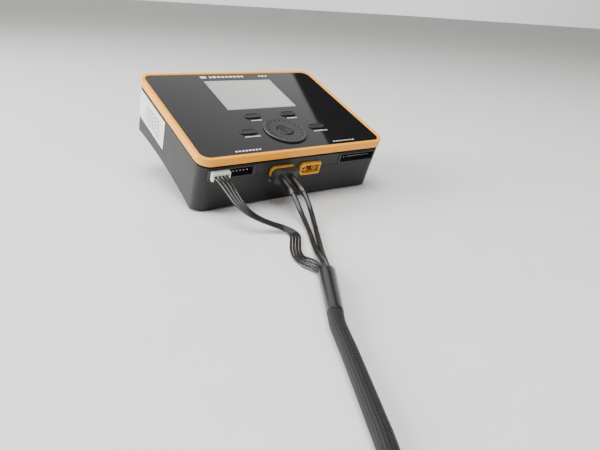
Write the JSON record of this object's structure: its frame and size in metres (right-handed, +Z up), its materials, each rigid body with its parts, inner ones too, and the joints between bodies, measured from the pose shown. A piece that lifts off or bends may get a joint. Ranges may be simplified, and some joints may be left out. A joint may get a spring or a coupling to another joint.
{
  "type": "balance battery charger",
  "caption": "Desktop battery charger with an orange bezel, a colour display, a jog dial and keys, propped on a rear kickstand, with a sleeved charge lead plugged into its front.",
  "frame": {"origin": "middle of the charger's bounding box without its lead, on the surface that it stands on", "axes": "+X to the right as seen from the front, +Y to the back, +Z up; the case leans forward by 19.3 degrees about X"},
  "size_m": [0.3015, 0.3476, 0.0739],
  "materials": {
    "shell_plastic": "matt black moulded plastic",
    "bezel_orange": "satin orange plastic",
    "panel_gloss": "polished black acrylic with white marks",
    "display_glass": "glossy display lens",
    "key_plastic": "satin black plastic",
    "board_green": "green solder mask",
    "heat_sink_metal": "extruded aluminium",
    "amber_nylon": "amber nylon",
    "contact_brass": "gold-plated brass",
    "black_nylon": "black nylon",
    "white_nylon": "white nylon or silicone",
    "capacitor_can": "sleeved can",
    "label_paper": "white label film",
    "led_lens": "clear lens",
    "rubber": "black rubber",
    "screw_steel": "black oxide steel",
    "silicone": "black silicone insulation",
    "heat_shrink": "black heat-shrink tube",
    "braid": "black braided sleeve"
  },
  "bodies": {
    "case": {"balance_plug": "white_nylon", "balance_socket_left": "black_nylon", "balance_socket_right": "black_nylon", "balance_wire_1": "silicone", "balance_wire_2": "silicone", "balance_wire_3": "silicone", "balance_wire_4": "silicone", "bezel_ring": "bezel_orange", "capacitor_left": "capacitor_can", "capacitor_right": "capacitor_can", "case_screw_back_left": "screw_steel", "case_screw_back_right": "screw_steel", "case_screw_front_left": "screw_steel", "case_screw_front_right": "screw_steel", "connector_board": "board_green", "control_board": "board_green", "display_module": "key_plastic", "display_window": "display_glass", "encoder": "black_nylon", "fan_frame_left": "black_nylon", "fan_frame_right": "black_nylon", "far_balance_lead": "silicone", "far_balance_plug": "white_nylon", "far_boot": "heat_shrink", "far_power_plug": "amber_nylon", "fascia_panel": "panel_gloss", "foot_back_left": "rubber", "foot_back_right": "rubber", "foot_front_left": "rubber", "foot_front_right": "rubber", "heat_sink": "heat_sink_metal", "input_socket": "amber_nylon", "lead_collar": "heat_shrink", "lead_sleeve": "braid", "lower_shell": "shell_plastic", "main_board": "board_green", "output_pin_left_inner": "contact_brass", "output_pin_left_outer": "contact_brass", "output_pin_right_inner": "contact_brass", "output_pin_right_outer": "contact_brass", "output_socket_left": "amber_nylon", "output_socket_right": "amber_nylon", "power_plug": "black_nylon", "power_wire_inner": "silicone", "power_wire_outer": "silicone", "side_label": "label_paper", "status_light": "led_lens", "switch_mat": "white_nylon", "upper_shell": "shell_plastic"},
    "stand": {"kickstand": "shell_plastic", "kickstand_pad": "rubber"},
    "dial": {"jog_dial": "key_plastic"},
    "button": {"dial_button": "key_plastic"},
    "key_upper_left": {"upper_left_key": "key_plastic"},
    "key_upper_right": {"upper_right_key": "key_plastic"},
    "key_lower_left": {"lower_left_key": "key_plastic"},
    "key_lower_right": {"lower_right_key": "key_plastic"},
    "fan_left": {"fan_rotor_left": "black_nylon"},
    "fan_right": {"fan_rotor_right": "black_nylon"}
  },
  "joints": [
    {"name": "kickstand_hinge", "type": "hinge", "parent": "case", "child": "stand", "pos_m": [0, 0.04072, 0.02993], "axis": [-1, 0, 0], "range_deg": [0, 90]},
    {"name": "jog_dial_turn", "type": "hinge", "parent": "case", "child": "dial", "pos_m": [0, -0.03583, 0.04519], "axis": [0, -0.3305, 0.9438], "continuous": true},
    {"name": "dial_button_press", "type": "slide", "parent": "case", "child": "button", "axis": [0, 0.3305, -0.9438], "range_m": [0, 0.0005], "stiffness_N_per_m": 2000},
    {"name": "upper_left_key_press", "type": "slide", "parent": "case", "child": "key_upper_left", "axis": [0, 0.3305, -0.9438], "range_m": [0, 0.0005], "stiffness_N_per_m": 2000},
    {"name": "upper_right_key_press", "type": "slide", "parent": "case", "child": "key_upper_right", "axis": [0, 0.3305, -0.9438], "range_m": [0, 0.0005], "stiffness_N_per_m": 2000},
    {"name": "lower_left_key_press", "type": "slide", "parent": "case", "child": "key_lower_left", "axis": [0, 0.3305, -0.9438], "range_m": [0, 0.0005], "stiffness_N_per_m": 2000},
    {"name": "lower_right_key_press", "type": "slide", "parent": "case", "child": "key_lower_right", "axis": [0, 0.3305, -0.9438], "range_m": [0, 0.0005], "stiffness_N_per_m": 2000},
    {"name": "fan_left_spin", "type": "hinge", "parent": "case", "child": "fan_left", "pos_m": [-0.03, -0.01581, 0.02041], "axis": [0, -0.3305, 0.9438], "continuous": true},
    {"name": "fan_right_spin", "type": "hinge", "parent": "case", "child": "fan_right", "pos_m": [0.03, -0.01581, 0.02041], "axis": [0, -0.3305, 0.9438], "continuous": true}
  ]
}
